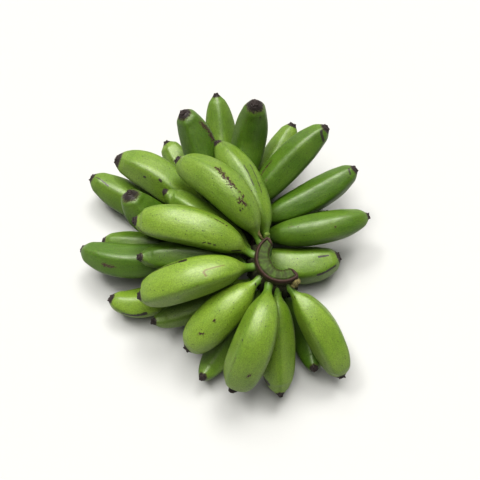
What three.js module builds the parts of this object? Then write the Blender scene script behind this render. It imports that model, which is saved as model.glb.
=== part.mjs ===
// A bunch of short green cooking bananas: two hands, one laid on the other.
// The lower hand lies on its back with its tips turned up. The upper hand lies face down over it.
// Each finger is one solid with its own stalk and dry flower end, and each hand has one crown.
// Millimetres, +Z up. The origin is on the surface that the bunch lies on, below the middle of its box.
import * as THREE from "three";

// ---- Driving dimensions ----
const SECTION_SIDES = 10; // five soft ridges with a flat between each pair
const FLAT_SHARE = 0.94; // radius at the middle of a flat, as a share of the radius at a ridge
const STALK_SHARE = 0.16; // share of a finger's length over which its stalk turns from square to the crown
const GAP = 0.5; // clear space that touching pieces keep
const PEEL_GREEN = 0x6f9c2c;
const CROWN_GREEN = 0x7c9a4a;

// The cross-sections: share of the finger's length, and radius as a share of its greatest radius.
const PROFILE = [
  [0, 0.22],
  [0.08, 0.22],
  [0.12, 0.32],
  [0.16, 0.48],
  [0.21, 0.64],
  [0.28, 0.79],
  [0.37, 0.91],
  [0.47, 0.98],
  [0.57, 1],
  [0.67, 0.985],
  [0.76, 0.93],
  [0.84, 0.82],
  [0.9, 0.68],
  [0.95, 0.5],
  [0.985, 0.33],
  [1, 0.24],
];

// A crown is a crescent pad. Its fingers leave the outer side in two rows, one above the other.
// Its widths are measured evenly along the crescent, from one end to the other.
const UPPER_CROWN = {
  name: "upper_crown",
  centre: [38, -33],
  outerRadius: 25,
  widths: [8, 12, 15, 16, 15, 14, 14, 13],
  from: 118, // bearings in degrees, anticlockwise from +X
  to: 314,
  bottom: 56,
  top: 90,
  rows: { high: 79, low: 64 },
};
const LOWER_CROWN = {
  name: "lower_crown",
  centre: [-14, 6],
  outerRadius: 29,
  widths: [12, 15, 16, 15, 12],
  from: -38,
  to: 228,
  bottom: 12,
  top: 42,
  rows: { high: 35, low: 20 },
};

// One finger a line: the bearing and row of its stalk on the crown, the middle of its belly, its tip, and its girth.
const UPPER_HAND = [
  { bearing: 116, row: "low", belly: [8, 42, 73], tip: [-22, 91, 74], girth: 36 },
  { bearing: 138, row: "high", belly: [-15, 26, 98], tip: [-60, 67, 84], girth: 39 },
  { bearing: 153, row: "low", belly: [-33, 8, 60], tip: [-76, 37, 60], girth: 30 },
  { bearing: 169, row: "high", belly: [-43, -7, 95], tip: [-98, 6, 80], girth: 40 },
  { bearing: 181, row: "low", belly: [-41, -25, 58], tip: [-95, -25, 60], girth: 32 },
  { bearing: 194, row: "high", belly: [-39, -45, 80], tip: [-95, -61, 56], girth: 40 },
  { bearing: 208, row: "low", belly: [-33, -63, 38], tip: [-85, -77, 30], girth: 29 },
  { bearing: 222, row: "high", belly: [-16, -76, 66], tip: [-50, -108, 36], girth: 40 },
  { bearing: 232, row: "low", belly: [-14, -95, 24], tip: [-36, -133, 20], girth: 33 },
  { bearing: 243, row: "high", belly: [11, -102, 68], tip: [-5, -144, 30], girth: 41 },
  { bearing: 263, row: "high", belly: [38, -104, 42], tip: [38, -149, 20], girth: 36 },
  { bearing: 272, row: "low", belly: [54, -88, 18], tip: [72, -121, 17], girth: 31 },
  { bearing: 283, row: "high", belly: [70, -95, 52], tip: [97, -132, 24], girth: 37 },
];
const LOWER_HAND = [
  { bearing: -24, row: "high", belly: [56, -12, 28], tip: [100, -13, 31], girth: 40 },
  { bearing: 5, row: "high", belly: [74, 18, 42], tip: [128, 24, 48], girth: 33 },
  { bearing: 20, row: "low", belly: [54, 24, 13], tip: [92, 39, 22], girth: 26 },
  { bearing: 31, row: "high", belly: [66, 51, 46], tip: [117, 69, 62], girth: 35 },
  { bearing: 57, row: "high", belly: [54, 78, 54], tip: [86, 105, 84], girth: 37 },
  { bearing: 70, row: "low", belly: [30, 90, 19], tip: [57, 135, 38], girth: 34 },
  { bearing: 85, row: "high", belly: [9, 97, 57], tip: [15, 124, 99], girth: 38 },
  { bearing: 100, row: "low", belly: [-15, 105, 25], tip: [-26, 161, 56], girth: 36 },
  { bearing: 114, row: "high", belly: [-50, 90, 54], tip: [-55, 118, 92], girth: 38 },
  { bearing: 130, row: "low", belly: [-56, 80, 19], tip: [-80, 118, 30], girth: 35 },
  { bearing: 146, row: "high", belly: [-74, 70, 47], tip: [-128, 85, 48], girth: 41 },
  { bearing: 158, row: "low", belly: [-107, 40, 20], tip: [-156, 76, 30], girth: 39 },
  { bearing: 171, row: "high", belly: [-88, 22, 53], tip: [-105, 31, 88], girth: 38 },
  { bearing: 183, row: "low", belly: [-95, 1, 16], tip: [-142, 8, 17], girth: 30 },
  { bearing: 193, row: "high", belly: [-102, -13, 36], tip: [-159, -6, 32], girth: 37 },
  { bearing: 217, row: "high", belly: [-90, -46, 22], tip: [-128, -57, 26], girth: 34 },
];

// ---- A finger's thickness, and its centreline from the crown, through the belly, to the tip ----
function plumpness(along) {
  const next = Math.max(1, PROFILE.findIndex(([share]) => share >= along));
  const [fromShare, fromRadius] = PROFILE[next - 1];
  const [toShare, toRadius] = PROFILE[next];
  return THREE.MathUtils.mapLinear(along, fromShare, toShare, fromRadius, toRadius);
}

function layFinger(spec, crown) {
  const bearing = THREE.MathUtils.degToRad(spec.bearing);
  const outward = new THREE.Vector3(Math.cos(bearing), Math.sin(bearing), 0);
  const root = new THREE.Vector3(...crown.centre, crown.rows[spec.row]);
  root.addScaledVector(outward, crown.outerRadius + GAP);
  return {
    root,
    outward,
    belly: new THREE.Vector3(...spec.belly),
    tip: new THREE.Vector3(...spec.tip),
    radius: spec.girth / 2,
  };
}

function centreline({ root, belly, tip }) {
  // This handle makes the curve pass through the belly half-way along.
  const handle = belly.clone().multiplyScalar(2).sub(root.clone().add(tip).divideScalar(2));
  return new THREE.QuadraticBezierCurve3(root, handle, tip);
}

// ---- Settling: fingers push each other apart until they only touch, and none is below the surface ----
// A finger swings about the top of its stalk, and never stretches.
const SAMPLES = 24;
const SETTLE_ROUNDS = 400;

function beads(finger) {
  const curve = centreline(finger);
  const found = [];
  for (let i = 1; i <= SAMPLES; i++) {
    const along = i / SAMPLES;
    const radius = finger.radius * plumpness(along);
    found.push({ along, at: curve.getPointAt(along), radius });
  }
  return found;
}

function crownBeads(crown) {
  const radius = Math.max(...crown.widths) / 2;
  const middle = crown.outerRadius - radius;
  const found = [];
  for (let bearing = crown.from; bearing <= crown.to; bearing += 15) {
    const turn = THREE.MathUtils.degToRad(bearing);
    for (let z = crown.bottom + radius; z <= crown.top - radius + 0.1; z += radius / 2) {
      const at = new THREE.Vector3(...crown.centre, z);
      at.x += middle * Math.cos(turn);
      at.y += middle * Math.sin(turn);
      found.push({ at, radius });
    }
  }
  return found;
}

function swing(point, root, shift) {
  const reach = point.distanceTo(root);
  point.add(shift).sub(root).setLength(reach).add(root);
}

// Moves the belly and the tip so that the centreline shifts by `shift` at the share `along` of its length.
function nudge(finger, along, shift) {
  const onBelly = 4 * along * (1 - along);
  const onTip = along * (2 * along - 1);
  const spread = onBelly * onBelly + onTip * onTip + 0.1;
  swing(finger.belly, finger.root, shift.clone().multiplyScalar(onBelly / spread));
  swing(finger.tip, finger.root, shift.clone().multiplyScalar(onTip / spread));
}

function deepest(beadsA, beadsB) {
  let worst = { depth: 0 };
  for (const a of beadsA) {
    for (const b of beadsB) {
      const depth = a.radius + b.radius + GAP - a.at.distanceTo(b.at);
      if (depth > worst.depth) worst = { depth, a, b };
    }
  }
  return worst;
}

function settle(fingers, crowns) {
  const fixed = crowns.flatMap(crownBeads);
  for (let round = 0; round < SETTLE_ROUNDS; round++) {
    let total = 0;
    const beaded = fingers.map(beads);
    for (let i = 0; i < fingers.length; i++) {
      for (let j = i + 1; j < fingers.length; j++) {
        const { depth, a, b } = deepest(beaded[i], beaded[j]);
        if (depth <= 0) continue;
        total += depth;
        const shift = a.at.clone().sub(b.at).setLength(depth * 0.4);
        nudge(fingers[i], a.along, shift);
        nudge(fingers[j], b.along, shift.negate());
      }
      const away = beaded[i].filter((bead) => bead.along > 0.3);
      const { depth, a, b } = deepest(away, fixed);
      if (depth > 0) nudge(fingers[i], a.along, a.at.clone().sub(b.at).setLength(depth * 0.5));
      for (const bead of beaded[i]) {
        const below = bead.radius - bead.at.z;
        if (below > 0) nudge(fingers[i], bead.along, new THREE.Vector3(0, 0, below * 0.5));
      }
    }
    if (total < 0.01) break;
  }
}

// ---- Solids ----
// The first ring is square to the crown, and the rings turn from there to square with the centreline.
function facing(finger, curve, along) {
  const turned = THREE.MathUtils.smoothstep(along, 0, STALK_SHARE);
  return finger.outward.clone().lerp(curve.getTangentAt(along), turned).normalize();
}

// A finger's skin is a ring of points at each cross-section, with one ridge on the outside of its bend.
function fingerGeometry(finger) {
  const curve = centreline(finger);
  const bend = curve.getPoint(0.5).sub(curve.getPoint(0).add(curve.getPoint(1)).divideScalar(2));
  const points = [];
  for (const [along, share] of PROFILE) {
    const centre = curve.getPointAt(along);
    const forward = facing(finger, curve, along);
    const up = bend.clone().addScaledVector(forward, -bend.dot(forward)).normalize();
    const side = forward.clone().cross(up);
    for (let k = 0; k < SECTION_SIDES; k++) {
      const turn = (2 * Math.PI * k) / SECTION_SIDES;
      const reach = finger.radius * share * (k % 2 ? FLAT_SHARE : 1);
      const point = centre.clone().addScaledVector(up, reach * Math.cos(turn));
      points.push(point.addScaledVector(side, reach * Math.sin(turn)));
    }
  }
  const rootCentre = points.push(curve.getPoint(0)) - 1;
  const tipCentre = points.push(curve.getPoint(1)) - 1;
  const faces = [];
  const lastRing = (PROFILE.length - 1) * SECTION_SIDES;
  for (let k = 0; k < SECTION_SIDES; k++) {
    const next = (k + 1) % SECTION_SIDES;
    for (let start = 0; start < lastRing; start += SECTION_SIDES) {
      const ahead = start + SECTION_SIDES;
      faces.push(start + k, start + next, ahead + next, start + k, ahead + next, ahead + k);
    }
    faces.push(rootCentre, next, k, tipCentre, lastRing + k, lastRing + next);
  }
  return new THREE.BufferGeometry().setFromPoints(points).setIndex(faces);
}

function crownGeometry(crown) {
  const bevel = 2.5;
  const steps = 24;
  const outer = [];
  const inner = [];
  const width = new THREE.SplineCurve(crown.widths.map((w, i) => new THREE.Vector2(i, w)));
  for (let step = 0; step <= steps; step++) {
    const bearing = THREE.MathUtils.degToRad(THREE.MathUtils.lerp(crown.from, crown.to, step / steps));
    const outward = new THREE.Vector2(Math.cos(bearing), Math.sin(bearing));
    outer.push(outward.clone().multiplyScalar(crown.outerRadius - bevel));
    inner.unshift(outward.clone().multiplyScalar(crown.outerRadius - width.getPoint(step / steps).y + bevel));
  }
  const solid = new THREE.ExtrudeGeometry(new THREE.Shape([...outer, ...inner]), {
    depth: crown.top - crown.bottom - 2 * bevel,
    bevelSize: bevel,
    bevelThickness: bevel,
    bevelSegments: 2,
  });
  return solid.translate(...crown.centre, crown.bottom + bevel);
}

// ---- The bunch ----
const peel = new THREE.MeshStandardMaterial({ color: PEEL_GREEN, roughness: 0.42, metalness: 0 });
const cutCrown = new THREE.MeshStandardMaterial({ color: CROWN_GREEN, roughness: 0.7, metalness: 0 });

const bunch = new THREE.Group();
function add(name, geometry, material) {
  const mesh = new THREE.Mesh(geometry, material);
  mesh.name = name;
  bunch.add(mesh);
}

const upperFingers = UPPER_HAND.map((spec) => layFinger(spec, UPPER_CROWN));
const lowerFingers = LOWER_HAND.map((spec) => layFinger(spec, LOWER_CROWN));
settle([...upperFingers, ...lowerFingers], [UPPER_CROWN, LOWER_CROWN]);

for (const crown of [UPPER_CROWN, LOWER_CROWN]) add(crown.name, crownGeometry(crown), cutCrown);
upperFingers.forEach((finger, i) => add(`upper_finger_${i + 1}`, fingerGeometry(finger), peel));
lowerFingers.forEach((finger, i) => add(`lower_finger_${i + 1}`, fingerGeometry(finger), peel));

// The origin goes below the middle of the bunch's box, at the height of its lowest point.
const box = new THREE.Box3().setFromObject(bunch);
const middle = box.getCenter(new THREE.Vector3());
bunch.position.set(-middle.x, -middle.y, -box.min.z);

export default bunch;
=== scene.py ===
# %% [markdown]
# # A bunch of green bananas
# A bunch is made of hands, and a hand is a row of fingers that grow from one woody pad, the crown.
# Here one hand lies face down over another that lies on its back. The solids for all of it are loaded
# first, and they fix where everything is. Each finger and each crown is then modelled finely around its
# solid.

# %% Load the solids
import math

import bmesh
import bpy
import numpy as np
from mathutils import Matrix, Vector, noise


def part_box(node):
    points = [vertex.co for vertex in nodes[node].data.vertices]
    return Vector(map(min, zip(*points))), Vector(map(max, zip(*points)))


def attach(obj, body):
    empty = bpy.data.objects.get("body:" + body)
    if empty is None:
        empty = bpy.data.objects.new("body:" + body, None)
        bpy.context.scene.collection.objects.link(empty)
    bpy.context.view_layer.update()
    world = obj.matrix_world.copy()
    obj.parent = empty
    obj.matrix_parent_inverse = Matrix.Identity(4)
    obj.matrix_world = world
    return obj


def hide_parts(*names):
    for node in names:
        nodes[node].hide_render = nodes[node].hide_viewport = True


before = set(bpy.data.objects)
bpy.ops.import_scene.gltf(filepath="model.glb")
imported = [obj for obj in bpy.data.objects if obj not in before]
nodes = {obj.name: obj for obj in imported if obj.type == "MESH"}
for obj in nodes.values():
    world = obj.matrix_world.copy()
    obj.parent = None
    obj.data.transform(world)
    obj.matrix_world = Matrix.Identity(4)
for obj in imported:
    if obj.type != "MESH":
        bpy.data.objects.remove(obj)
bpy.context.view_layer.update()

MM = 0.001
finger_names = sorted((n for n in nodes if "finger" in n), key=lambda n: (n[:5], int(n.split("_")[2])))
print(len(nodes), "solids,", len(finger_names), "of them fingers")

# %% [markdown]
# ## Reading a finger's line
# A finger's solid is a stack of rings with a point at each end. Walking over the mesh from the crown's end,
# one edge at a time, meets the rings in order. Their middles are the finger's line, and their spread is its
# thickness. Reading both from the solid keeps the fine finger exactly where the solid is.

# %% Walk from ring to ring
SAME_POINT = 0.02 * MM


def read_finger(node, crown_middle):
    """The middles, thicknesses and directions of a finger's rings, from the crown's end to the tip."""
    walker = bmesh.new()
    walker.from_mesh(node.data)
    bmesh.ops.remove_doubles(walker, verts=walker.verts, dist=SAME_POINT)
    ends = sorted(walker.verts, key=lambda v: -len(v.link_edges))[:2]
    start = min(ends, key=lambda v: (v.co - crown_middle).length)
    seen, ring, rings = {start}, [start], []
    while ring:
        ring = {e.other_vert(v) for v in ring for e in v.link_edges} - seen
        ring = sorted(ring, key=lambda v: v.index)
        seen.update(ring)
        if len(ring) > 2:
            rings.append(np.array([v.co for v in ring]))
    walker.free()
    middles = np.array([r.mean(0) for r in rings])
    radii = np.array([np.linalg.norm(r - m, axis=1).mean() for r, m in zip(rings, middles)])
    facings = []
    for i, (r, m) in enumerate(zip(rings, middles)):
        square = np.linalg.svd(r - m)[2][2]
        ahead = middles[min(i + 1, len(rings) - 1)] - middles[max(i - 1, 0)]
        facings.append(square * np.sign(square @ ahead))
    bend = Vector(middles[len(middles) // 2] - (middles[0] + middles[-1]) / 2).normalized()
    return {"middles": middles, "radii": radii, "facings": np.array(facings), "bend": bend}


crown_middles = {hand: sum(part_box(hand + "_crown"), Vector()) / 2 for hand in ("upper", "lower")}
lines = {name: read_finger(nodes[name], crown_middles[name[:5]]) for name in finger_names}
for name in finger_names[:3]:
    thickest = 2 * lines[name]["radii"].max() / MM
    print(name, len(lines[name]["middles"]), "rings, thickest", round(thickest, 1), "mm")

# %% [markdown]
# ## A smooth curve through the rings
# The solid has only a few rings, so straight lines between them would show as creases. A cubic curve that
# leaves each ring in the direction of its two neighbours passes through all of them with no corner.

# %% Smooth values between the rings
def smooth_curve(stations, rows):
    """A function that gives the value at any station, on a smooth curve through all the rows."""
    slopes = np.gradient(rows, stations, axis=0)

    def at(place):
        i = int(np.clip(np.searchsorted(stations, place) - 1, 0, len(stations) - 2))
        gap = stations[i + 1] - stations[i]
        t = (place - stations[i]) / gap
        near = (1 + 2 * t) * (1 - t) ** 2 * rows[i] + t * (1 - t) ** 2 * gap * slopes[i]
        return near + t * t * (3 - 2 * t) * rows[i + 1] + t * t * (t - 1) * gap * slopes[i + 1]

    return at


# %% [markdown]
# ## The section of a finger
# Across, a banana is a rounded pentagon: five ridges, never quite evenly spaced, with a flatter face
# between each pair. The section here is a circle that is pressed in towards a true pentagon. A short
# running mean takes the sharp edge off each ridge.

# %% Press a circle towards a pentagon
SIDES = 112
SOFTENING = 6  # how many sides to each side the running mean takes in
RIDGE_COUNT = 5


def even(first):
    """Evenly spaced ridges, in degrees round the finger. The first one is given."""
    return [first + 360 / RIDGE_COUNT * i for i in range(RIDGE_COUNT)]


def pressed_in(ridges):
    """For each side of the tube, how far a pentagon with softened corners lies inside its circle."""
    depths = []
    for side in range(SIDES):
        turn = math.tau * side / SIDES
        after = next((i for i, ridge in enumerate(ridges) if ridge > turn), 0)
        width = (ridges[after] - ridges[after - 1]) % math.tau
        across = (turn - ridges[after - 1]) % math.tau
        flat = 1 - math.cos(width / 2) / math.cos(across - width / 2)
        depths.append(flat * (math.tau / RIDGE_COUNT / width) ** 2)  # a wide face bulges more
    around = np.array(depths[-SOFTENING:] + depths + depths[:SOFTENING])
    window = np.hanning(2 * SOFTENING + 3)[1:-1]
    return np.convolve(around, window / window.sum(), "valid")


def ridge_distance(angle, ridges):
    """How far this angle is from the nearest ridge, in radians."""
    return min(abs((angle - ridge + math.pi) % math.tau - math.pi) for ridge in ridges)


example = pressed_in([math.radians(r) for r in even(0)])
print("a face lies", round(example.max() * 100), "% inside the circle at most")

# %% [markdown]
# ## From a tube to a finger
# A finger starts as a closed tube, cut into many rings with subdivide_edges. Each ring is then moved to its
# station on the finger's line, turned to face along it, and pushed out to the section's outline. The last
# few rings make the dry flower end: a short ragged cap with a shallow cup.
# A tube that is moved ring by ring keeps clean rows of faces, and carries the skin's own coordinates: how
# far along a point is, and how far round.

# %% Numbers that every finger shares
PEEL_RINGS = 144
# The dry flower end, ring by ring: how far it stands past the peel in millimetres, and its share of the
# peel's radius.
FLOWER_END = [
    (0.0, 0.90), (0.2, 0.86), (0.6, 0.86), (1.0, 0.84), (1.3, 0.76),
    (1.3, 0.60), (1.0, 0.42), (0.8, 0.22), (0.8, 0.06),
]
FULLNESS = 1.05  # the solid is a polygon with flats, so the smooth finger is drawn a little fuller
HIDDEN_ROOT = 2.5  # how far a stalk goes on into its crown, in millimetres
ROOT_SHARE = 0.03  # the part of the finger where the stalk flares into the crown
ROOT_FLARE = 0.18  # how much wider the stalk is where it meets the crown
TIP_FROM = 0.88  # the share of the length after which a tip may turn up
TIP_RISE = 1.6 * MM  # how far one step of "upturn" lifts the end of the tip
TIP_TILT = 0.22  # how much one step of "upturn" turns the tip to face up
BLUNT_AT, BLUNT_SPREAD = 0.95, 0.04  # where along the finger the shoulder before the flower end is
HALF_A_RING = 0.5


def make_tube(sides, rings):
    """A tube of radius 1 from height 0 to height rings, with a ring of points at each whole height."""
    tube = bmesh.new()
    bmesh.ops.create_cone(tube, cap_ends=True, segments=sides, radius1=1, radius2=1, depth=rings)
    bmesh.ops.translate(tube, verts=tube.verts, vec=(0, 0, rings / 2))
    long_edges = [e for e in tube.edges if abs(e.verts[0].co.z - e.verts[1].co.z) > HALF_A_RING]
    bmesh.ops.subdivide_edges(tube, edges=long_edges, cuts=rings - 1, use_grid_fill=False)
    return tube


def finish_piece(name, mesh_in_progress, stands_for=None):
    """Turns a bmesh into a smooth piece that rides on the bunch and stands for its solid."""
    bmesh.ops.recalc_face_normals(mesh_in_progress, faces=mesh_in_progress.faces)
    all_point_inwards = mesh_in_progress.calc_volume(signed=True) < 0
    if all_point_inwards:
        bmesh.ops.reverse_faces(mesh_in_progress, faces=mesh_in_progress.faces)
    data = bpy.data.meshes.new(name)
    mesh_in_progress.to_mesh(data)
    mesh_in_progress.free()
    data.shade_smooth()
    piece = bpy.data.objects.new(name, data)
    bpy.context.scene.collection.objects.link(piece)
    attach(piece, "root")
    if stands_for:
        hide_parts(stands_for)
    return piece


def paint(piece, name, kind, values):
    """Stores one value for each point of the piece, for its material to read."""
    layer = piece.data.attributes.new(name, kind, "POINT")
    field = "vector" if kind == "FLOAT_VECTOR" else "value"
    layer.data.foreach_set(field, np.array(values, np.float32).ravel())


# %% [markdown]
# ## What differs from finger to finger
# No two fingers of a bunch are alike. Each has its own turn about its line, given by its ridges, and its
# own flatness between them. "flower" is the size of the flower end, "ragged" its roughness, and "stain" how
# many millimetres the drying creeps back over the peel. "bluntness" swells the shoulder before it, "upturn"
# lifts the tip, and "reach" pushes it outwards, in millimetres.
# A mark is a stroke over the skin, from one place to another: how far along, how far round in degrees,
# again how far along and round, and how wide in millimetres. A scar is brown and rough, a line is a thin
# black bruise, and a scratch is ochre.

# %% Each finger's own looks
OWN = {
    "upper_finger_1": {"ridges": [305, 350, 55, 125, 220], "lines": [
        (0.66, 310, 0.47, 305, 1.6), (0.65, 335, 0.40, 325, 1.6), (0.44, 290, 0.44, 290, 2.4)]},
    "upper_finger_2": {"ridges": [250, 345, 50, 115, 185], "flatness": 0.6, "upturn": 4, "scars": [
        (0.59, 355, 0.45, 345, 7.5), (0.45, 345, 0.39, 350, 2.8), (0.36, 355, 0.34, 325, 3.2),
        (0.35, 335, 0.31, 340, 5)], "lines": [(0.30, 315, 0.30, 315, 3), (0.30, 325, 0.30, 325, 2.5)]},
    "upper_finger_3": {"ridges": even(275)},
    "upper_finger_4": {"ridges": [10, 75, 140, 205, 270], "flatness": 0.65, "upturn": 4, "scars": [
        (0.44, 5, 0.30, 5, 2), (0.37, 5, 0.37, 5, 3), (0.95, 270, 0.88, 265, 5)], "lines": [
        (0.41, 280, 0.39, 285, 2), (0.37, 285, 0.35, 285, 2.5), (0.33, 285, 0.32, 285, 2.5),
        (0.18, 280, 0.13, 290, 5), (0.67, 245, 0.66, 245, 2.2)]},
    "upper_finger_5": {"ridges": even(265)},
    "upper_finger_6": {"ridges": [60, 125, 190, 255, 320], "flatness": 0.65, "upturn": 4, "scratches": [
        (0.38, 340, 0.39, 355, 2), (0.39, 355, 0.37, 0, 2), (0.36, 0, 0.26, 5, 1.6)], "lines": [
        (0.53, 50, 0.49, 50, 4.5), (0.74, 55, 0.54, 50, 2)]},
    "upper_finger_7": {"ridges": even(215)},
    "upper_finger_8": {"ridges": [65, 135, 210, 280], "flatness": 0.7, "scars": [
        (0.52, 350, 0.53, 350, 3), (0.68, 345, 0.71, 355, 4)], "lines": [(0.07, 345, 0.08, 315, 1.8)]},
    "upper_finger_9": {"ridges": even(185)},
    "upper_finger_10": {"ridges": [45, 100, 170, 245, 315], "flatness": 0.6, "upturn": 6, "reach": 3.5,
        "bluntness": -0.25, "scars": [(0.68, 355, 0.66, 350, 4)], "lines": [(0.45, 45, 0.45, 45, 2.5)]},
    "upper_finger_11": {"ridges": [110, 190, 265, 335, 40], "flower": 0.6, "bluntness": -0.06, "lines": [
        (0.83, 265, 0.88, 250, 8)]},
    "upper_finger_13": {"ridges": [15, 95, 170, 240, 310], "flatness": 0.8, "lines": [
        (0.11, 130, 0.11, 130, 4.5), (0.11, 100, 0.11, 100, 3.5), (0.31, 345, 0.31, 345, 2.5),
        (0.82, 55, 0.82, 55, 2.5)]},
    "lower_finger_1": {"ridges": even(280), "lines": [
        (0.79, 225, 0.90, 225, 3.6), (0.93, 285, 0.74, 285, 5), (0.52, 225, 0.52, 225, 2),
        (0.51, 245, 0.51, 245, 2)]},
    "lower_finger_2": {"ridges": even(235), "flatness": 0.35, "ragged": 2.2, "scars": [
        (0.68, 335, 0.68, 335, 3), (0.65, 320, 0.65, 320, 2), (0.39, 310, 0.39, 310, 2.2)]},
    "lower_finger_4": {"ridges": even(185), "lines": [(0.97, 180, 0.95, 225, 2.2)]},
    "lower_finger_5": {"ridges": even(140), "flatness": 0.75, "scars": [(0.49, 95, 0.35, 100, 3.6)],
        "lines": [(0.97, 150, 0.93, 205, 4.5)]},
    "lower_finger_6": {"ridges": even(175)},
    "lower_finger_7": {"ridges": [160, 255, 320, 30, 95], "flower": 1.05, "stain": 6.5, "scars": [
        (0.92, 225, 0.91, 225, 3)]},
    "lower_finger_8": {"ridges": even(195), "flatness": 0.5, "flower": 0.7, "bluntness": 0},
    "lower_finger_9": {"ridges": [180, 265, 335, 45, 110], "flower": 0.95, "stain": 4, "scars": [
        (0.86, 255, 0.67, 260, 8)]},
    "lower_finger_10": {"ridges": even(180), "flower": 0.7},
    "lower_finger_11": {"ridges": even(290), "flatness": 0.75, "flower": 1.1, "stain": 5, "upturn": 3,
        "lines": [(0.65, 265, 0.64, 265, 4), (0.51, 285, 0.50, 285, 4.5)]},
    "lower_finger_12": {"ridges": even(165), "lines": [(0.97, 180, 0.84, 165, 2.8)]},
    "lower_finger_13": {"ridges": even(125), "flower": 0.75, "ragged": 1.6, "stain": 5, "scars": [
        (0.78, 220, 0.78, 220, 3.5)]},
    "lower_finger_15": {"ridges": [70, 135, 210, 280, 355], "flatness": 0.7, "scars": [
        (0.75, 35, 0.68, 35, 6)], "lines": [(0.91, 135, 0.81, 135, 1.8)]},
    "lower_finger_16": {"ridges": even(60), "lines": [(0.87, 50, 0.70, 70, 5)]},
}
# How light the skin of each finger is, from 0, deep green, to 1, yellow-green, in the order of the names.
# Partly painted shade: the lower hand and the fingers that lie in shadow are set darker, the lit upper
# fingers lighter.
TONES_AND_PAINTED_SHADE = {
    "upper": [0.50, 0.60, 0.50, 0.80, 0.20, 0.85, 0.50, 0.95, 0.35, 0.60, 0.60, 0.00, 0.70],
    "lower": [
        0.45, 0.20, 0.50, 0.10, 0.15, 0.45, 0.12, 0.35,
        0.05, 0.50, 0.55, 0.35, 0.15, 0.30, 0.05, 0.80,
    ],
}
PLAIN = {
    "ridges": even(20), "flatness": 0.62, "flower": 1.0, "ragged": 1.0, "bluntness": 0.11, "stain": 2.5,
    "upturn": 0, "reach": 0, "scars": [], "lines": [], "scratches": [],
}
# The upper hand's fingers hang down from their crown. Their flower ends turn up a little, and are small.
BEAKED = {"upturn": 2.5, "reach": 0.5, "bluntness": 0.02, "flower": 0.80}

# %% How strongly a stroke marks a place
UNMARKED = -4


def stroke_strength(share, angle, length, girth, strokes):
    """1 on a stroke's own line, 0 at its edge, and less than 0 beyond."""
    best = UNMARKED
    for from_share, from_turn, to_share, to_turn, width in strokes:
        turn = math.degrees(angle)
        start = Vector((from_share * length, math.radians((from_turn - turn + 180) % 360 - 180) * girth))
        end = Vector((to_share * length, math.radians((to_turn - turn + 180) % 360 - 180) * girth))
        here = Vector((share * length, 0))
        along = end - start
        t = max(0, min(1, (here - start).dot(along) / max(along.length_squared, 1e-12)))
        best = max(best, 1 - (here - start - along * t).length / (width / 2 * MM))
    return best


# %% Find where each ring of a finger goes
def finger_stations(line, own):
    """The finger's length, and each ring's share of it, middle, three directions, radius and overshoot."""
    steps = np.linalg.norm(np.diff(line["middles"], axis=0), axis=1)
    reached = np.concatenate([[0], np.cumsum(steps)])
    length = reached[-1]
    middle_at = smooth_curve(reached, line["middles"])
    radius_at = smooth_curve(reached, line["radii"])
    facing_at = smooth_curve(reached, line["facings"])
    heading = Vector(middle_at(length)) - Vector(middle_at(length * 0.6))
    heading = Vector((heading.x, heading.y, 0)).normalized()
    stations = []
    for ring in range(PEEL_RINGS + len(FLOWER_END) + 1):
        share = min(ring / PEEL_RINGS, 1)
        middle = Vector(middle_at(share * length))
        facing = Vector(facing_at(share * length)).normalized()
        out = line["bend"] - facing * line["bend"].dot(facing)
        out.normalize()
        radius = FULLNESS * radius_at(share * length)
        past = 0
        if share > TIP_FROM:
            upturn = (share - TIP_FROM) / (1 - TIP_FROM)
            middle.z += own["upturn"] * TIP_RISE * upturn * upturn
            middle += heading * own["reach"] * MM * upturn * upturn
            facing = (facing + Vector((0, 0, TIP_TILT * own["upturn"] * upturn))).normalized()
            out = (line["bend"] - facing * line["bend"].dot(facing)).normalized()
        if share < ROOT_SHARE:
            root = 1 - share / ROOT_SHARE
            middle -= facing * HIDDEN_ROOT * MM * root
            radius *= 1 + ROOT_FLARE * root * root
        radius *= 1 + own["bluntness"] * math.exp(-(((share - BLUNT_AT) / BLUNT_SPREAD) ** 2))
        if share > BLUNT_AT:
            radius *= 1 + (own["flower"] - 1) * (share - BLUNT_AT) / (1 - BLUNT_AT)
        if ring > PEEL_RINGS:
            past, narrowing = FLOWER_END[ring - PEEL_RINGS - 1]
            radius *= narrowing
            middle += facing * past * MM
        stations.append((share, middle, facing, out, facing.cross(out), radius, past))
    return length, stations


# %% Build one finger
RIDGE_WIDTH = 1.6  # in millimetres
STALK_END = 0.16  # the share of the length where the stalk has grown into the belly
FINE, MIDDLING, BROAD = 1300, 420, 38  # how many lumps of each size there are in a metre, roughly
DENT_DEPTH = 0.5 * MM  # how uneven the belly is


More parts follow.
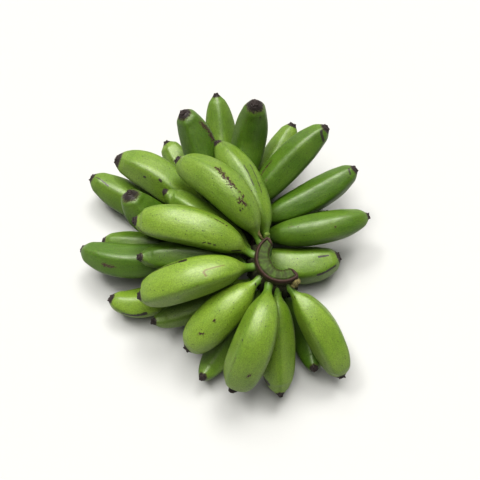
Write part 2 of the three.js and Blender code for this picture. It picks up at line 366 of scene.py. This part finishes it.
def build_finger(number, name):
    """One banana: its mesh, and all that its material reads from it."""
    line = lines[name]
    own = {**PLAIN, **(BEAKED if "upper" in name else {}), **OWN.get(name, {})}
    length, stations = finger_stations(line, own)
    girth = FULLNESS * line["radii"].max()
    seed = Vector((number * 3.1, number * 1.7, number * 5.3))
    ridges = sorted(math.radians(r) % math.tau for r in own["ridges"])
    inward = pressed_in(ridges)
    tube = make_tube(SIDES, PEEL_RINGS + len(FLOWER_END))
    marks = {"ridge": [], "dry": [], "scar": [], "bruise": [], "scratch": [], "root": [], "own_tone_and_shade": []}
    skin = []
    for v in tube.verts:
        share, middle, facing, out, side, radius, past = stations[round(v.co.z)]
        angle = math.atan2(v.co.y, v.co.x)
        flatness = own["flatness"] * (0.45 + 0.55 * radius / girth) * (1 + 0.25 * share)
        reach = radius * (1 - flatness * inward[round(angle / math.tau * SIDES) % SIDES])
        spoke = out * math.cos(angle) + side * math.sin(angle)
        unbent = Vector((radius * math.cos(angle), radius * math.sin(angle), share * length))
        if past:
            coarse = noise.noise(unbent * MIDDLING + seed) * own["ragged"]
            fine = noise.noise(unbent * FINE + seed * 2) * own["ragged"]
            reach *= 1 + 0.20 * coarse + 0.12 * fine
            middle = middle + facing * (0.9 * coarse + 0.7 * fine) * MM * min(1, past)
        else:
            reach += DENT_DEPTH * noise.noise(unbent * BROAD + seed) * radius / girth
        v.co = middle + spoke * reach
        skin.append(unbent / MM * 0.1 + seed)
        off_ridge = ridge_distance(angle, ridges) * radius / MM / RIDGE_WIDTH
        marks["ridge"].append(0 if past else math.exp(-(off_ridge ** 2)))
        marks["dry"].append(1 if past else max(-1, 1 - (1 - share) * length / MM / own["stain"]))
        marks["scar"].append(stroke_strength(share, angle, length, girth, own["scars"]))
        marks["bruise"].append(stroke_strength(share, angle, length, girth, own["lines"]))
        marks["scratch"].append(stroke_strength(share, angle, length, girth, own["scratches"]))
        marks["root"].append(max(0, 1 - share / STALK_END))
        # Each finger's tone, with painted shade for the fingers that lie lower or in shadow.
        marks["own_tone_and_shade"].append(TONES_AND_PAINTED_SHADE[name[:5]][int(name.split("_")[2]) - 1])
    piece = finish_piece(name.replace("finger", "banana"), tube, name)
    paint(piece, "skin", "FLOAT_VECTOR", skin)
    for mark, values in marks.items():
        paint(piece, mark, "FLOAT", values)
    return piece


bananas = {name: build_finger(number, name) for number, name in enumerate(finger_names)}
print(len(bananas), "bananas,", sum(len(b.data.polygons) for b in bananas.values()), "faces")

# %% [markdown]
# ## The crowns
# A crown is a crescent pad of tough fibre, widest in the middle. The knife leaves its upper face green, and
# the skin round its outer edge shrinks and dries to a raised brown rim. The crescent is a tube again, bent
# round an arc, with a section that is nearly a rectangle and two blunt ends.

# %% The crescents' sizes
CROWN_SIDES = 128
CROWN_RINGS = 120
# Millimetres, and degrees for the crescent's two ends.
RIM = 3.4  # width of the brown rim
BEAD_HEIGHT = 1.0  # how far the rim stands up from the cut face
GROOVE_DEPTH, GROOVE_WIDTH = 0.9, 0.45  # the dark line just inside the rim
FALLEN_DEPTH, FALLEN_WIDTH = 1.6, 1.8  # where the face has shrunk down at the edge over the hollow
END_ROUNDING = 3.5  # the length over which each end closes
# "touches" says at which corner of its box the crescent's outer arc lies.
CROWNS = {
    "upper": {
        "radius": 25, "widths": [11, 13.5, 15, 16, 15, 14, 14, 13], "from": 118, "to": 314,
        "touches": "low",
    },
    "lower": {"radius": 29, "widths": [12, 15, 16, 15, 12], "from": -38, "to": 228, "touches": "high"},
}


def crown_middle_of(hand):
    """The middle of the crescent's outer arc, found from the two sides of its box that the arc touches."""
    shape, (low, high) = CROWNS[hand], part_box(hand + "_crown")
    inward = Vector((1, 1, 0)) * shape["radius"] * MM
    corner = low + inward if shape["touches"] == "low" else high - inward
    return Vector((corner.x, corner.y, (low.z + high.z) / 2))


SQUARENESS = 6  # 2 would make the section an ellipse, and a large number a sharp rectangle


def crown_outline(angle, half_width, half_height):
    """A point on the section, a rectangle with round corners: outward first, then up."""
    c, s = math.cos(angle), math.sin(angle)
    stretch = (abs(c) ** SQUARENESS + abs(s) ** SQUARENESS) ** (-1 / SQUARENESS)
    return half_width * c * stretch, half_height * s * stretch


# %% Bend a tube into a crescent
def build_crown(hand):
    """A crown's pad: a tube bent round an arc, with a bead, a groove and ripples on its upper face."""
    shape, middle = CROWNS[hand], crown_middle_of(hand)
    low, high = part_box(hand + "_crown")
    width_at = smooth_curve(np.linspace(0, 1, len(shape["widths"])), np.array(shape["widths"], float))
    arc = math.radians(shape["to"] - shape["from"])
    tube = make_tube(CROWN_SIDES, CROWN_RINGS)
    marks = {"cut_face": [], "from_edge": [], "from_hollow": []}
    grain = []
    for v in tube.verts:
        share = v.co.z / CROWN_RINGS
        from_end = min(share, 1 - share) * arc * (shape["radius"] - 6)
        closing = 0.2 + 0.8 * math.sqrt(1 - (1 - min(1, from_end / END_ROUNDING)) ** 2)
        half_width = width_at(share) / 2 * closing
        half_height = (high.z - low.z) / 2 / MM * (0.9 + 0.1 * closing)
        outward, up = crown_outline(math.atan2(v.co.y, v.co.x), half_width, half_height)
        bearing = math.radians(shape["from"]) + arc * share
        spoke = Vector((math.cos(bearing), math.sin(bearing), 0))
        radius = shape["radius"] - width_at(share) / 2 + outward
        along = bearing * shape["radius"]
        from_edge = min(half_width - outward, from_end + 0.6)
        on_top = max(0, min(1, (up / half_height - 0.86) / 0.1))
        bead = math.sin(math.pi * min(1, max(0, from_edge + 0.6) / (RIM + 0.6))) ** 0.6
        groove = math.exp(-(((from_edge - RIM - 0.3) / GROOVE_WIDTH) ** 2))
        fallen = math.exp(-(((half_width + outward) / FALLEN_WIDTH) ** 2))
        ripple = noise.noise(Vector((along / 5, outward / 14, 1.5)))
        rough = noise.noise(Vector((along, outward, up)) / 1.7)
        relief = BEAD_HEIGHT * bead - GROOVE_DEPTH * groove - FALLEN_DEPTH * fallen
        up += on_top * (relief + 0.6 * ripple + 0.12 * rough)
        wall = noise.noise(Vector((along / 2.2, up / 9, 7.5)))
        radius += (0.5 * wall + 0.35 * rough) * (1 - on_top) * (1 if outward > 0 else -1)
        v.co = Vector((middle.x, middle.y, middle.z + up * MM)) + spoke * radius * MM
        marks["cut_face"].append(on_top)
        marks["from_edge"].append(from_edge)
        marks["from_hollow"].append(half_width + outward)
        grain.append((along * 0.1, outward * 0.1, up * 0.1))
    piece = finish_piece(hand + "_crown_pad", tube, hand + "_crown")
    paint(piece, "grain", "FLOAT_VECTOR", grain)
    for mark, values in marks.items():
        paint(piece, mark, "FLOAT", values)
    return piece


crowns = {hand: build_crown(hand) for hand in CROWNS}
print(len(crowns), "crowns, each", len(crowns["upper"].data.polygons), "faces")

# %% [markdown]
# ## Between the stalks
# Where the stalks leave the crown, the flesh between them is webbed together, and dark shreds of the dried
# leaves that once covered the flowers stay caught in the corners. One lumpy roll along the crown's outer
# wall closes the corners between the stalks. A few loose shreds lie at the crescent's two ends.
# The roll's near-black colour is partly those dried shreds and partly painted shade for the deep gaps between
# the stalks.

# %% A lumpy roll along the outer wall
WEB_SIDES = 40
WEB_RINGS = 120
WEB_THICKNESS = 7.5  # millimetres out from the wall, and as far into it
WEB_DROP = 7.0  # how far the roll's middle is below the crown's, in millimetres
WEB_INSET = 4  # degrees that the roll stops short of each end of the crescent


def build_web(hand):
    """The webbed flesh between the stalks of one hand."""
    shape, middle = CROWNS[hand], crown_middle_of(hand)
    low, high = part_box(hand + "_crown")
    half_height = (high.z - low.z) / MM / 2
    arc = shape["to"] - shape["from"] - 2 * WEB_INSET
    tube = make_tube(WEB_SIDES, WEB_RINGS)
    grain = []
    for v in tube.verts:
        share, angle = v.co.z / WEB_RINGS, math.atan2(v.co.y, v.co.x)
        bearing = math.radians(shape["from"] + WEB_INSET + arc * share)
        closing = math.sqrt(max(0.05, 1 - (2 * share - 1) ** 8))
        along = bearing * shape["radius"]
        coarse = noise.noise(Vector((along / 3.5, angle, 3)))
        fine = noise.noise(Vector((along, angle * 3, 9)))
        lump = 1 + 0.35 * coarse + 0.25 * fine
        radius = shape["radius"] - 1 + WEB_THICKNESS * math.cos(angle) * lump * closing
        height = half_height * math.sin(angle) * closing * (0.85 + 0.15 * lump) - WEB_DROP
        v.co = middle + Vector((math.cos(bearing) * radius, math.sin(bearing) * radius, height)) * MM
        grain.append((along * 0.1, radius * 0.1, height * 0.1))
    piece = finish_piece(hand + "_stalk_web", tube)
    paint(piece, "grain", "FLOAT_VECTOR", grain)
    return piece


# %% Loose shreds at the crescent's ends
# Each route is given in millimetres from the middle of the upper crown's arc, at the height of its face.
SHRED_SIDES = 24
SHRED_RINGS = 40
SHRED_HALF_THICKNESS = 0.6
A_LITTLE = 0.02  # a share of a route that is short enough to show which way the route heads
SHREDS = {
    "curled_shred": {
        "route": [(-15, 19, -8), (-18.5, 21, -3), (-21, 26, 0), (-19.5, 32, -3)], "width": 2.6,
    },
    "green_shred": {"route": [(-14, 20, -4), (-12.5, 23, -1), (-10, 24.5, -4)], "width": 4.5},
    "torn_flap": {"route": [(9, -22, -6), (13, -22.5, -2), (17, -20, -5)], "width": 6.5},
    "torn_corner": {"route": [(8, -25, -8), (12, -25, -5), (16, -23, -9)], "width": 4.5},
}


def build_shred(name, shape):
    """One thin scrap of dried skin that follows its route, curled across its width."""
    middle = crown_middle_of("upper")
    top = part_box("upper_crown")[1].z
    line_at = smooth_curve(np.linspace(0, 1, len(shape["route"])), np.array(shape["route"], float))
    tube = make_tube(SHRED_SIDES, SHRED_RINGS)
    grain = []
    for v in tube.verts:
        share, angle = v.co.z / SHRED_RINGS, math.atan2(v.co.y, v.co.x)
        here = Vector(line_at(share))
        ahead, behind = line_at(min(1, share + A_LITTLE)), line_at(max(0, share - A_LITTLE))
        facing = (Vector(ahead) - Vector(behind)).normalized()
        side = facing.cross(Vector((0, 0, 1))).normalized()
        closing = math.sqrt(max(0.02, 1 - (2 * share - 1) ** 4))
        curl = noise.noise(Vector((share * 4, angle, len(name))))
        wide = shape["width"] / 2 * math.cos(angle) * closing * (1 + 0.5 * curl)
        thick = SHRED_HALF_THICKNESS * math.sin(angle) * closing * (1 + 0.4 * curl)
        here += side * wide + facing.cross(side) * (thick + 0.12 * wide * wide)
        v.co = Vector((middle.x, middle.y, top)) + here * MM
        grain.append((share * 2, math.cos(angle) * 0.3, math.sin(angle) * 0.3))
    piece = finish_piece(name, tube)
    paint(piece, "grain", "FLOAT_VECTOR", grain)
    return piece


webs = {hand: build_web(hand) for hand in CROWNS}
shreds = {name: build_shred(name, shape) for name, shape in SHREDS.items()}
print(len(webs), "webs and", len(shreds), "shreds")

# %% [markdown]
# ## Banana skin
# Unripe skin is a waxy, saturated green that drifts between yellow-green and deep green, with faint streaks
# along the fruit and scattered specks. It dries to near black at the flower end. The patterns read the skin's
# own coordinates, stored on each point in centimetres, so streaks follow the bend of every finger.
# Some of the darkness is painted shade: fingers that lie lower or in shadow get a deeper green, and the stalk
# darkens where it goes into the crown.

# %% Small helpers for node trees
class Wiring:
    """Adds nodes to a material and links them in one line each."""

    def __init__(self, name):
        self.material = bpy.data.materials.new(name)
        self.material.use_nodes = True
        self.tree = self.material.node_tree
        self.shader = self.tree.nodes["Principled BSDF"]

    def add(self, kind, settings=None, **inputs):
        """A new node, with its settings and with each named input fed."""
        made = self.tree.nodes.new(kind)
        for key, value in (settings or {}).items():
            setattr(made, key, value)
        for key, value in inputs.items():
            self.feed(made.inputs[key], value)
        return made

    def feed(self, socket, value):
        """Links another node's output to the socket, or sets the socket's own value."""
        if isinstance(value, bpy.types.NodeSocket):
            self.tree.links.new(value, socket)
        else:
            socket.default_value = value

    def stored(self, name, vector=False):
        made = self.add("ShaderNodeAttribute", {"attribute_name": name})
        return made.outputs["Vector" if vector else "Fac"]

    def noise(self, place, scale, detail=2.0, roughness=0.5):
        made = self.add("ShaderNodeTexNoise", Vector=place, Scale=scale, Detail=detail, Roughness=roughness)
        return made.outputs["Fac"]

    def stretch(self, place, amounts, shift=(0, 0, 0)):
        return self.add("ShaderNodeMapping", Vector=place, Scale=amounts, Location=shift).outputs[0]

    def math(self, operation, *values):
        made = self.add("ShaderNodeMath", {"operation": operation})
        for socket, value in zip(made.inputs, values):
            self.feed(socket, value)
        return made.outputs[0]

    def soften(self, value, low, high, to_low=0.0, to_high=1.0):
        """Maps low..high to to_low..to_high along a smooth step."""
        made = self.add("ShaderNodeMapRange", {"interpolation_type": "SMOOTHSTEP"}, Value=value)
        for key, number in (("From Min", low), ("From Max", high), ("To Min", to_low), ("To Max", to_high)):
            made.inputs[key].default_value = number
        return made.outputs["Result"]

    def mix(self, share, a, b, blend="MIX"):
        made = self.add("ShaderNodeMix", {"data_type": "RGBA", "blend_type": blend})
        factor = made.inputs[0]
        first_colour, second_colour = made.inputs[6], made.inputs[7]
        self.feed(factor, share)
        for socket, value in ((first_colour, a), (second_colour, b)):
            self.feed(socket, value if isinstance(value, bpy.types.NodeSocket) else (*value, 1))
        return made.outputs[2]

    def bump(self, height, strength, distance, after=None):
        made = self.add("ShaderNodeBump", Height=height, Strength=strength, Distance=distance)
        if after is not None:
            self.feed(made.inputs["Normal"], after)
        return made.outputs[0]


# %% The green itself: drift, streaks, ridges, stalk and painted shade
DEEP_GREEN, YELLOW_GREEN = (0.050, 0.112, 0.002), (0.168, 0.252, 0.026)
CLOUD_GREEN, STREAK_GREEN = (0.065, 0.155, 0.002), (0.175, 0.25, 0.015)
RIDGE_GREEN = (0.065, 0.135, 0.002)
# The second colour is painted shade: the stalk's foot darkens where it goes into the crown, deep between its
# neighbours.
STALK_GREEN, STALK_FOOT_PAINTED_SHADE = (0.060, 0.150, 0.012), (0.035, 0.055, 0.008)
MOTTLE_LOW, MOTTLE_HIGH = 0.74, 1.26  # the brightness that the fine mottle multiplies the green by


def living_green(w, skin):
    """The skin's colour where nothing marks it, with painted shade in each finger's tone and at the stalk's
    foot.
    """
    # Each finger's tone here also carries painted shade, darker for fingers that lie lower or in shadow.
    drift = w.math("MULTIPLY_ADD", w.noise(skin, 0.42, 2), 0.6, w.stored("own_tone_and_shade"))
    colour = w.mix(w.soften(drift, 0.20, 1.25), DEEP_GREEN, YELLOW_GREEN)
    clouds = w.soften(w.noise(w.stretch(skin, (1, 1, 0.6), (4, 9, 2)), 1.1, 3, 0.6), 0.42, 0.72)
    colour = w.mix(w.math("MULTIPLY", clouds, 0.25), colour, CLOUD_GREEN)
    streaks = w.soften(w.noise(w.stretch(skin, (8, 8, 0.4)), 1.0, 3, 0.6), 0.40, 0.75)
    colour = w.mix(w.math("MULTIPLY", streaks, 0.16), colour, STREAK_GREEN)
    colour = w.mix(w.math("MULTIPLY", w.stored("ridge"), 0.40), colour, RIDGE_GREEN)
    mottle = w.soften(w.noise(skin, 9.0, 4, 0.7), 0.30, 0.70, MOTTLE_LOW, MOTTLE_HIGH)
    grey = w.add("ShaderNodeCombineColor", Red=mottle, Green=mottle, Blue=mottle).outputs[0]
    colour = w.mix(1.0, colour, grey, "MULTIPLY")
    root = w.stored("root")
    colour = w.mix(w.soften(root, 0.15, 0.75, 0.0, 0.55), colour, STALK_GREEN)
    # Painted shade at the stalk's foot, where it goes into the crown.
    return w.mix(w.soften(root, 0.80, 1.0, 0.0, 0.8), colour, STALK_FOOT_PAINTED_SHADE)


# %% Specks: small dark points and fine dust
SPECK_BLACK, DUST_GREEN, WORN_BROWN = (0.022, 0.032, 0.006), (0.04, 0.09, 0.005), (0.075, 0.055, 0.008)
SPECK_CELLS = 3.0  # cells in a centimetre, and a third of them hold a speck
DUST_CELLS = 9.0


def add_specks(w, skin, colour):
    """Specks scattered at random, with dust in patches, and brown flecks where a ridge has been rubbed."""
    cells = w.add("ShaderNodeTexVoronoi", {"feature": "F1"}, Vector=skin, Scale=SPECK_CELLS)
    chance = w.add("ShaderNodeSeparateColor", Color=cells.outputs["Color"]).outputs[0]
    rare = w.soften(chance, 0.66, 0.68)
    speck = w.math("MULTIPLY", w.soften(cells.outputs["Distance"], 0.09, 0.21, 1.0, 0.0), rare)
    colour = w.mix(w.math("MULTIPLY", speck, 0.9), colour, SPECK_BLACK)
    spread = w.stretch(skin, (1, 1, 0.7), (5, 2, 8))
    grains = w.add("ShaderNodeTexVoronoi", {"feature": "F1"}, Vector=spread, Scale=DUST_CELLS)
    dust = w.soften(grains.outputs["Distance"], 0.08, 0.26, 0.30, 0.0)
    patches = w.soften(w.noise(w.stretch(skin, (1, 1, 1), (7, 3, 1)), 1.2, 2), 0.42, 0.62)
    colour = w.mix(w.math("MULTIPLY", dust, patches), colour, DUST_GREEN)
    flecks = w.soften(w.noise(w.stretch(skin, (9, 9, 3.5)), 1.0, 3, 0.6), 0.54, 0.64)
    rubbed = w.soften(w.stored("ridge"), 0.25, 0.9)
    worn = w.math("MULTIPLY", rubbed, w.math("MULTIPLY", flecks, patches))
    return w.mix(w.math("MULTIPLY", worn, 0.75), colour, WORN_BROWN)


# %% Scars, bruises and the dry flower end
SCAR_EDGE, SCAR_BROWN = (0.20, 0.17, 0.04), (0.050, 0.018, 0.007)
BRUISE_BLACK, SCRATCH_OCHRE = (0.022, 0.016, 0.009), (0.115, 0.092, 0.001)
WITHERED_GREEN, FLOWER_BLACK = (0.085, 0.085, 0.018), (0.022, 0.012, 0.011)
CRUMB_BROWN = (0.085, 0.055, 0.050)


def add_damage(w, skin, colour, torn):
    """The colour with every mark added, and how scarred and how dried each place is."""
    scarred = w.math("SUBTRACT", w.math("MULTIPLY_ADD", torn, 5.0, w.stored("scar")), 0.2)
    colour = w.mix(w.soften(scarred, 0.10, 0.40), colour, SCAR_EDGE)
    colour = w.mix(w.soften(scarred, 0.25, 0.50), colour, SCAR_BROWN)
    bruised = w.math("MULTIPLY_ADD", torn, 1.3, w.stored("bruise"))
    colour = w.mix(w.soften(bruised, 0.15, 0.50), colour, BRUISE_BLACK)
    scratched = w.math("MULTIPLY_ADD", torn, 0.8, w.stored("scratch"))
    colour = w.mix(w.soften(scratched, 0.0, 0.35, 0.0, 0.95), colour, SCRATCH_OCHRE)
    dry = w.stored("dry")
    dried = w.math("MULTIPLY_ADD", torn, 1.6, dry)
    colour = w.mix(w.soften(dried, 0.05, 0.45), colour, WITHERED_GREEN)
    colour = w.mix(w.soften(dried, 0.30, 0.62), colour, FLOWER_BLACK)
    crumbs = w.math("MULTIPLY", w.soften(dry, 0.9, 1.0), w.soften(w.noise(skin, 24, 3), 0.48, 0.72))
    colour = w.mix(crumbs, colour, CRUMB_BROWN)
    return colour, w.soften(scarred, 0.2, 0.5), w.soften(dried, 0.2, 0.6)


# %% The skin's material
def make_peel():
    """Waxy green skin: the colour, a soft sheen with a thin coat, and four layers of bump."""
    w = Wiring("green_peel")
    skin = w.stored("skin", vector=True)
    torn = w.math("SUBTRACT", w.noise(w.stretch(skin, (8, 8, 5)), 1.0, 4, 0.65), 0.5)
    colour = add_specks(w, skin, living_green(w, skin))
    colour, scarred, dried = add_damage(w, skin, colour, torn)
    w.feed(w.shader.inputs["Base Color"], colour)
    waxy = w.math("MULTIPLY_ADD", w.noise(skin, 1.6, 3), 0.28, 0.38)
    rough_marks = w.math("MAXIMUM", w.math("MULTIPLY", scarred, 0.7), w.math("MULTIPLY", dried, 0.85))
    coarse = w.math("MAXIMUM", rough_marks, w.soften(w.stored("root"), 0.05, 0.6, 0.0, 0.62))
    w.feed(w.shader.inputs["Roughness"], w.math("MAXIMUM", waxy, coarse))
    w.shader.inputs["Specular IOR Level"].default_value = 0.85
    w.shader.inputs["Coat Weight"].default_value = 0.2
    w.shader.inputs["Coat Roughness"].default_value = 0.28
    pores = w.bump(w.noise(skin, 20, 3), 0.35, 0.0005)
    fibres = w.bump(w.noise(w.stretch(skin, (6, 6, 0.6)), 1.0, 2), 0.10, 0.0008, pores)
    dents = w.bump(w.noise(w.stretch(skin, (1, 1, 0.6)), 1.6, 2), 0.14, 0.0025, fibres)
    crust = w.math("MULTIPLY", w.math("MAXIMUM", scarred, dried), w.noise(skin, 20, 4))
    w.feed(w.shader.inputs["Normal"], w.bump(crust, 0.9, 0.0012, dents))
    return w.material


peel = make_peel()
for banana in bananas.values():
    banana.data.materials.append(peel)
print("peel:", len(peel.node_tree.nodes), "nodes")

# %% [markdown]
# ## Crown fibre
# The cut face is green with faint streaks across it. A brown rim runs along the outer edge and round both
# ends, with a groove inside it that is painted dark as shade, and the edge over the hollow has gone brown
# too.
# The shreds are dried fibre in paler tones. The web is dried fibre painted near black, partly as shade for
# the deep gaps between the stalks.

# %% The crown's material
WALL_DARK, WALL_PALE = (0.045, 0.10, 0.012), (0.10, 0.19, 0.03)
FACE_DARK, FACE_PALE, FACE_BRUISE = (0.036, 0.050, 0.008), (0.060, 0.108, 0.011), (0.030, 0.040, 0.008)
# The second colour here is painted shade for the groove inside the rim.
HOLLOW_BROWN, GROOVE_PAINTED_SHADE = (0.040, 0.024, 0.014), (0.020, 0.014, 0.008)
RIM_DARK, RIM_PALE = (0.034, 0.018, 0.014), (0.080, 0.044, 0.033)


def make_crown_fibre():
    """Green on the cut face and the walls, brown on the rim and at the hollow's edge, and painted shade in
    the groove.
    """
    w = Wiring("crown_fibre")
    grain, face = w.stored("grain", vector=True), w.stored("cut_face")
    edge, hollow = w.stored("from_edge"), w.stored("from_hollow")
    wander = w.math("SUBTRACT", w.noise(grain, 5.0, 3, 0.6), 0.5)
    wall = w.mix(w.noise(grain, 1.6, 3), WALL_DARK, WALL_PALE)
    streaks = w.soften(w.noise(w.stretch(grain, (2.2, 1.2, 1.0)), 1.0, 4, 0.65), 0.35, 0.68)
    green = w.mix(streaks, FACE_DARK, FACE_PALE)
    bruises = w.soften(w.noise(w.stretch(grain, (1.3, 2.0, 1.0), (3, 1, 4)), 1.0, 3, 0.7), 0.50, 0.66)
    green = w.mix(w.math("MULTIPLY", bruises, 0.6), green, FACE_BRUISE)
    colour = w.mix(face, wall, green)
    near_hollow = w.soften(w.math("MULTIPLY_ADD", wander, 9.0, hollow), 0.8, 3.2, 1.0, 0.0)
    browned = w.math("MULTIPLY", near_hollow, face)
    colour = w.mix(w.math("MULTIPLY", browned, 0.85), colour, HOLLOW_BROWN)
    rim = w.soften(w.math("MULTIPLY_ADD", wander, 0.9, edge), RIM - 0.3, RIM + 0.1, 1.0, 0.0)
    rim_brown = w.mix(w.noise(w.stretch(grain, (3, 14, 14)), 1.0, 3), RIM_DARK, RIM_PALE)
    colour = w.mix(w.math("MULTIPLY", rim, w.soften(face, 0.0, 0.2, 0.75, 1.0)), colour, rim_brown)
    # Painted shade: a dark line along the groove just inside the rim.
    off_groove = w.math("ABSOLUTE", w.math("SUBTRACT", edge, RIM + 0.2))
    groove = w.math("MULTIPLY", w.soften(off_groove, 0.15, 0.5, 0.8, 0.0), face)
    colour = w.mix(groove, colour, GROOVE_PAINTED_SHADE)
    w.feed(w.shader.inputs["Base Color"], colour)
    w.shader.inputs["Roughness"].default_value = 0.7
    w.feed(w.shader.inputs["Normal"], w.bump(w.noise(w.stretch(grain, (9, 5, 5)), 1.0, 4), 0.3, 0.0009))
    return w.material


# %% The dried web, painted dark as shade, and the shreds
def make_dried_fibre(name, dark, pale):
    """Rough, matt fibre, streaked between two colours."""
    w = Wiring(name)
    grain = w.stored("grain", vector=True)
    colour = w.mix(w.soften(w.noise(w.stretch(grain, (9, 16, 16)), 1.0, 4, 0.65), 0.35, 0.7), dark, pale)
    w.feed(w.shader.inputs["Base Color"], colour)
    w.shader.inputs["Roughness"].default_value = 0.85
    w.feed(w.shader.inputs["Normal"], w.bump(w.noise(w.stretch(grain, (14, 30, 30)), 1.0, 4), 0.8, 0.0012))
    return w.material


crown_fibre = make_crown_fibre()
# The web's near-black is partly dried fibre and partly painted shade for the deep gaps between the stalks.
web_fibre_and_shade = make_dried_fibre("dark_web_and_shade", dark=(0.012, 0.012, 0.006), pale=(0.045, 0.050, 0.014))
tan_fibre = make_dried_fibre("tan_shred", dark=(0.10, 0.085, 0.035), pale=(0.30, 0.27, 0.12))
green_fibre = make_dried_fibre("green_shred", dark=(0.10, 0.16, 0.03), pale=(0.24, 0.32, 0.08))
for crown in crowns.values():
    crown.data.materials.append(crown_fibre)
for web in webs.values():
    web.data.materials.append(web_fibre_and_shade)
for name, shred in shreds.items():
    shred.data.materials.append(green_fibre if name == "green_shred" else tan_fibre)
print("crown:", len(crown_fibre.node_tree.nodes), "nodes")

# %% [markdown]
# ## Floor, light and camera
# The bunch lies on a plain pale floor. Far out the floor sweeps up like the paper backdrop of a studio, so
# no horizon shows from the side. The lights are suns, which fall on the whole floor evenly, and a wide sun
# is a soft one. Two hang overhead and behind and draw the broad sheen, a narrower one throws the shadows,
# and a small weak one to the left is a window that glints on the skin.

# %% The floor
FLOOR_REACH = 10  # metres from the middle to each side
FLAT_REACH = 3.0  # how far the floor is level
SWEEP = 0.045  # how steeply it curves up beyond that
floor_mesh = bmesh.new()
bmesh.ops.create_grid(floor_mesh, x_segments=48, y_segments=48, size=FLOOR_REACH)
for v in floor_mesh.verts:
    v.co.z = SWEEP * max(0, v.co.xy.length - FLAT_REACH) ** 2
floor_data = bpy.data.meshes.new("floor")
floor_mesh.to_mesh(floor_data)
floor_mesh.free()
floor_data.shade_smooth()
floor = bpy.data.objects.new("floor", floor_data)
bpy.context.scene.collection.objects.link(floor)
floor_paint = Wiring("pale_floor")
floor_paint.shader.inputs["Base Color"].default_value = (0.46, 0.46, 0.46, 1)
floor_paint.shader.inputs["Roughness"].default_value = 0.9
floor.data.materials.append(floor_paint.material)

# %% The camera
CAMERA_TARGET = Vector((15.85, -6.82, 44.97)) * MM
CAMERA_DISTANCE = 650 * MM
CAMERA_HEIGHT_ANGLE = math.radians(70)  # above the floor, so the camera looks steeply down
LENS, SENSOR = 48.75, 36  # millimetres, as on a camera
camera_data = bpy.data.cameras.new("camera")
camera_data.lens, camera_data.sensor_width = LENS, SENSOR
camera = bpy.data.objects.new("camera", camera_data)
bpy.context.scene.collection.objects.link(camera)
back = Vector((0, -math.cos(CAMERA_HEIGHT_ANGLE), math.sin(CAMERA_HEIGHT_ANGLE)))
camera.location = CAMERA_TARGET + back * CAMERA_DISTANCE
camera.rotation_euler = (-back).to_track_quat("-Z", "Y").to_euler()
bpy.context.scene.camera = camera
bpy.context.scene.view_settings.view_transform = "Standard"
bpy.context.scene.view_settings.look = "High Contrast"


# %% The lights
def soft_sun(name, direction, spread, strength):
    """A sun that shines from a direction. The spread is how wide it looks, in degrees."""
    lamp = bpy.data.lights.new(name, "SUN")
    lamp.angle, lamp.energy = math.radians(spread), strength
    lamp.color = (1.0, 0.99, 0.95)
    holder = bpy.data.objects.new(name, lamp)
    bpy.context.scene.collection.objects.link(holder)
    holder.location = CAMERA_TARGET + Vector(direction).normalized()
    holder.rotation_euler = Vector(direction).to_track_quat("Z", "Y").to_euler()


soft_sun("key", (0.22, 0.48, 0.85), 19, 1.0)
soft_sun("behind", (-0.10, 0.40, 0.92), 45, 2.05)
soft_sun("overhead", (-0.08, 0.0, 1.0), 33, 1.2)
soft_sun("window", (-0.40, 0.34, 0.86), 12, 0.7)

# %% A little light from all round
AMBIENT = 0.05
world = bpy.data.worlds.new("surroundings")
world.use_nodes = True
background = world.node_tree.nodes["Background"]
background.inputs["Color"].default_value = (1, 1, 1, 1)
background.inputs["Strength"].default_value = AMBIENT
bpy.context.scene.world = world
